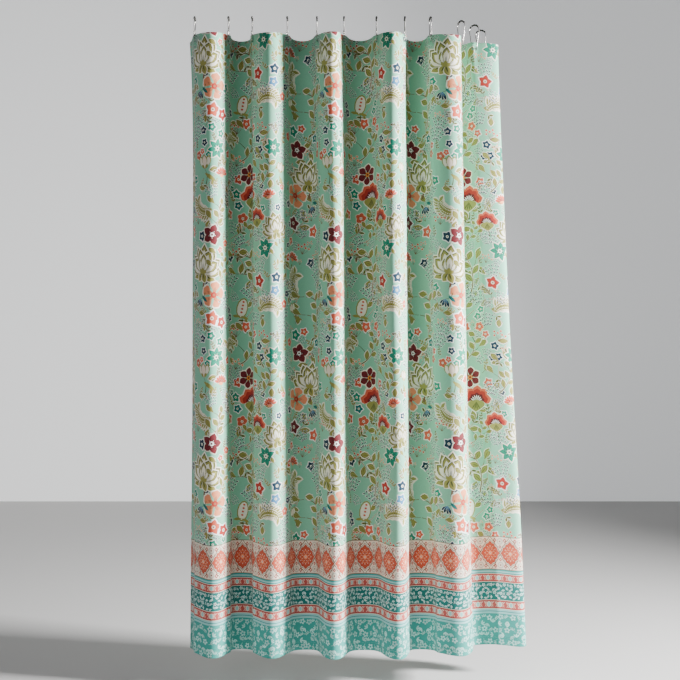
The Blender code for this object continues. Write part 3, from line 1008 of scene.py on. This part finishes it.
def cloth_piece(name, start, end, triangles, colours, finish):
    """One piece of the hung cloth between two cut lines."""
    middle = triangles[:, :, 0].mean(1)
    mine = (middle >= start) & (middle < end)
    extra_places, extra_lifts, extra_colours = piece_extras(start, end)
    places = np.concatenate([triangles[mine], extra_places])
    lifts = np.concatenate([np.zeros(triangles[mine].shape[:2]), extra_lifts])
    tints = np.concatenate([colours[mine], extra_colours])
    keys = np.round(np.concatenate([places.reshape(-1, 2), lifts.reshape(-1, 1)], 1), 3)
    unique, corner = np.unique(keys, axis=0, return_inverse=True)
    corner = corner.reshape(-1, 3)[:, ::-1]
    whole = (corner[:, 0] != corner[:, 1]) & (corner[:, 1] != corner[:, 2]) & (corner[:, 0] != corner[:, 2])
    corner, tints, places = corner[whole], tints[whole], places[:, ::-1][whole]
    points, normals = on_cloth(unique[:, :2], unique[:, 2])
    mesh = bpy.data.meshes.new(name)
    mesh.from_pydata(points.tolist(), [], corner.tolist())
    paint = mesh.color_attributes.new("print", "FLOAT_COLOR", "CORNER")
    rgba = np.ones((len(corner) * 3, 4), np.float32)
    rgba[:, :3] = np.repeat(tints, 3, axis=0)
    paint.data.foreach_set("color", rgba.ravel())
    flat = mesh.uv_layers.new(name="flat")
    flat.data.foreach_set("uv", (places.reshape(-1, 2) / 1000).astype(np.float32).ravel())
    bake = mesh.uv_layers.new(name="OFBake")
    bake.data.foreach_set("uv", bake_layout(places, start).astype(np.float32).ravel())
    mesh.materials.append(finish)
    mesh.shade_smooth()
    mesh.normals_split_custom_set_from_vertices(normals.tolist())
    return linked(name, mesh)


def build_cloth():
    triangles, colours = flat_cloth()
    finish = cloth_material()
    cuts = [0.0] + [(k - 0.5) * PITCH_MM + CUT_MM for k in range(1, HOOKS + 1)] + [WIDTH * 1000]
    for i, (start, end) in enumerate(zip(cuts, cuts[1:])):
        piece = cloth_piece(f"curtain_cloth_{i:02d}", start, end, triangles, colours, finish)
        if i == 0:
            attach(piece, "leaf_01")
        elif i == HOOKS:
            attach(piece, f"leaf_{HOOKS:02d}")
        else:
            first, second = hooks[i - 1][0], hooks[i][0]
            along = Vector((*(second - first), 0))
            axis = Vector(joint(f"fold_{i:02d}")["axis"])
            along -= axis * along.dot(axis)
            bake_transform(piece)
        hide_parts(f"fabric_panel_{max(1, min(i, HOOKS)):02d}")


# ---- Hooks ----


def wire_line():
    """The wire from its catch, over the rod, round the loop below the cloth and up to the snap."""
    tilt = math.asin((RING_RADIUS - LOOP_RADIUS) / LOOP_DEPTH)
    out = np.array([0, -math.cos(tilt), -math.sin(tilt)])
    top = RING_RADIUS * out
    bottom = LOOP_RADIUS * out - np.array([0, 0, LOOP_DEPTH])
    aside = WIRE_RADIUS * 1.12

    def leg(share, offset):
        return top + share * (bottom - top) + np.array([offset, 0, 0])

    def arc(radius, z, start, end, count):
        return [np.array([0, -radius * math.cos(a), z + radius * math.sin(a)])
                for a in np.linspace(start, end, count)]

    shares = np.linspace(0.82, 0.04, 12)
    upper = [leg(s, aside * min(1, max(0, (s - 0.30) / 0.25))) for s in shares]
    over = arc(RING_RADIUS, 0, -tilt, math.pi + tilt, 40)
    under = arc(LOOP_RADIUS, -LOOP_DEPTH, math.pi + tilt, 2 * math.pi - tilt, 26)
    shares = np.linspace(0.98, 0.56, 10)
    lower = [leg(s, -aside * min(1, max(0, (1 - s) / 0.16))) for s in shares]
    return np.array(upper + over + under + lower)


def ring_faces(count, sides):
    """The faces of a shape made of rings of points, closed at both ends."""
    faces = []
    for i in range(0, (count - 1) * sides, sides):
        for j in range(sides):
            n = (j + 1) % sides
            faces.append((i + j, i + n, i + sides + n, i + sides + j))
    last = (count - 1) * sides
    return faces + [tuple(range(sides))[::-1], tuple(range(last, last + sides))]


def tube(line, radius, sides=12):
    """(points, faces) of a closed tube along a line that lies near the y-z plane."""
    along = np.gradient(line, axis=0)
    along /= np.linalg.norm(along, axis=1, keepdims=True)
    side = np.array([1.0, 0, 0]) - along * along[:, :1]
    side /= np.linalg.norm(side, axis=1, keepdims=True)
    up = np.cross(along, side)
    angles = np.linspace(0, 2 * math.pi, sides, endpoint=False)
    points = [line[i] + radius * (math.cos(a) * side[i] + math.sin(a) * up[i])
              for i in range(len(line)) for a in angles]
    return points, ring_faces(len(line), sides)


def turned(centre, direction, profile, sides=20):
    """(points, faces) of a closed shape turned round a direction; profile is (along, radius)."""
    direction = direction / np.linalg.norm(direction)
    side = np.array([1.0, 0, 0])
    side -= direction * side.dot(direction)
    side /= np.linalg.norm(side)
    up = np.cross(direction, side)
    angles = np.linspace(0, 2 * math.pi, sides, endpoint=False)
    points = [centre + direction * along + radius * (math.cos(a) * side + math.sin(a) * up)
              for along, radius in profile for a in angles]
    return points, ring_faces(len(profile), sides)


def ball_profile(radius, count=9):
    angles = np.linspace(0.12, math.pi - 0.12, count)
    return [(-radius * math.cos(a), radius * math.sin(a)) for a in angles]


def bead_profile(radius, length, count=9):
    """A barrel with rounded ends."""
    angles = np.linspace(0.25, math.pi - 0.25, count)
    return [(-length / 2 * math.cos(a), radius * math.sin(a) ** 0.45) for a in angles]


def add_mesh(name, shapes, finish, place, turn):
    points, faces = [], []
    for more_points, more_faces in shapes:
        offset = len(points)
        points += [tuple(p) for p in more_points]
        faces += [tuple(i + offset for i in face) for face in more_faces]
    mesh = bpy.data.meshes.new(name)
    mesh.from_pydata(points, [], faces)
    mesh.materials.append(finish)
    mesh.validate()
    mesh.shade_smooth()
    mesh.set_sharp_from_angle(angle=math.radians(55))
    made = linked(name, mesh)
    made.location = (*place, 0)
    made.rotation_euler = (0, 0, turn)
    return made


def build_hooks():
    wire = metal_material("nickel_wire", rgb(168, 166, 162), 0.22)
    # The rollers get a much darker base colour than the nickel wire: a painted reflection of the black rod,
    # not a darker metal.
    bead = metal_material("nickel_bead", rgb(92, 90, 88), 0.25)
    line = wire_line()
    length = 2 * RING_RADIUS * math.sin(math.radians(ROLLER_SPREAD / 2) / ROLLER_COUNT) * 0.94
    for k, (place, turn) in enumerate(hooks, start=1):
        catch = turned(line[0], line[0] - line[1], ball_profile(WIRE_RADIUS * 1.7))
        snap = turned(line[-1], line[-1] - line[-2], ball_profile(WIRE_RADIUS * 1.5))
        ring = add_mesh(f"hook_wire_{k:02d}", [tube(line, WIRE_RADIUS), catch, snap], wire, place, turn)
        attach(ring, f"hook_{k:02d}")
        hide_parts(f"hook_ring_{k:02d}")
        for n in range(ROLLER_COUNT):
            angle = math.radians(90 - ROLLER_SPREAD / 2 + ROLLER_SPREAD * (n + 0.5) / ROLLER_COUNT)
            centre = RING_RADIUS * np.array([0, -math.cos(angle), math.sin(angle)])
            heading = np.array([0, math.sin(angle), math.cos(angle)])
            shape = turned(centre, heading, bead_profile(ROLLER_RADIUS, length))
            roller = add_mesh(f"hook_bead_{k:02d}_{n + 1}", [shape], bead, place, turn)
            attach(roller, "rollers_01" if k == 1 else f"hook_{k:02d}")
            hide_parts(f"hook_rollers_{k:02d}")


# ---- Camera, light and floor ----


def aimed(place, target):
    return (Vector(target) - Vector(place)).to_track_quat("-Z", "Y").to_euler()


def add_light(name, place, target, power, wide, colour, spread=180):
    data = bpy.data.lights.new(name, "AREA")
    data.energy = power
    data.size = wide
    data.color = colour
    data.spread = math.radians(spread)
    made = linked(name, data)
    made.location = place
    made.rotation_euler = aimed(place, target)


def stage_plane(name, tone, looks, corners):
    finish, _, _, shader = new_material(f"studio_{name}")
    for key, value in {"Base Color": tone, **looks}.items():
        shader.inputs[key].default_value = value
    mesh = bpy.data.meshes.new(name)
    mesh.from_pydata(corners, [], [(0, 1, 2, 3)])
    mesh.materials.append(finish)
    linked(name, mesh)


def build_stage():
    scene = bpy.context.scene
    data = bpy.data.cameras.new("camera")
    data.lens = 63.0
    data.sensor_width = 36
    camera = linked("camera", data)
    camera.location = (-0.012, -3.525, -0.940)
    camera.rotation_euler = (math.radians(90), 0, 0)
    scene.camera = camera
    middle = (0, 0, -0.9)
    add_light("key", (3.6, -0.85, -0.3), middle, 268, 0.6, (1.0, 1.0, 1.0), 100)
    add_light("fill", (-2.4, -3.2, 0.2), middle, 30, 2.0, (0.97, 0.99, 1.0))
    add_light("rim", (0.9, 2.0, 0.3), middle, 12, 1.6, (1.0, 1.0, 1.0))
    world = bpy.data.worlds.new("studio")
    world.use_nodes = True
    world.node_tree.nodes["Background"].inputs["Color"].default_value = (0.90, 0.92, 0.94, 1)
    world.node_tree.nodes["Background"].inputs["Strength"].default_value = 0.036
    scene.world = world
    low, reach, back, top = FLOOR_Z, STAGE_REACH, BACKDROP_Y, BACKDROP_TOP
    stage_plane("floor", (0.64, 0.63, 0.62, 1), {"Roughness": 0.9},
                [(-reach, -reach, low), (reach, -reach, low), (reach, reach, low), (-reach, reach, low)])
    stage_plane("backdrop", (0.85, 0.85, 0.84, 1),
                {"Emission Color": (0.95, 0.97, 1.0, 1), "Emission Strength": 0.45},
                [(-reach, back, low), (reach, back, low), (reach, back, top), (-reach, back, top)])


build_stage()
build_cloth()
build_hooks()
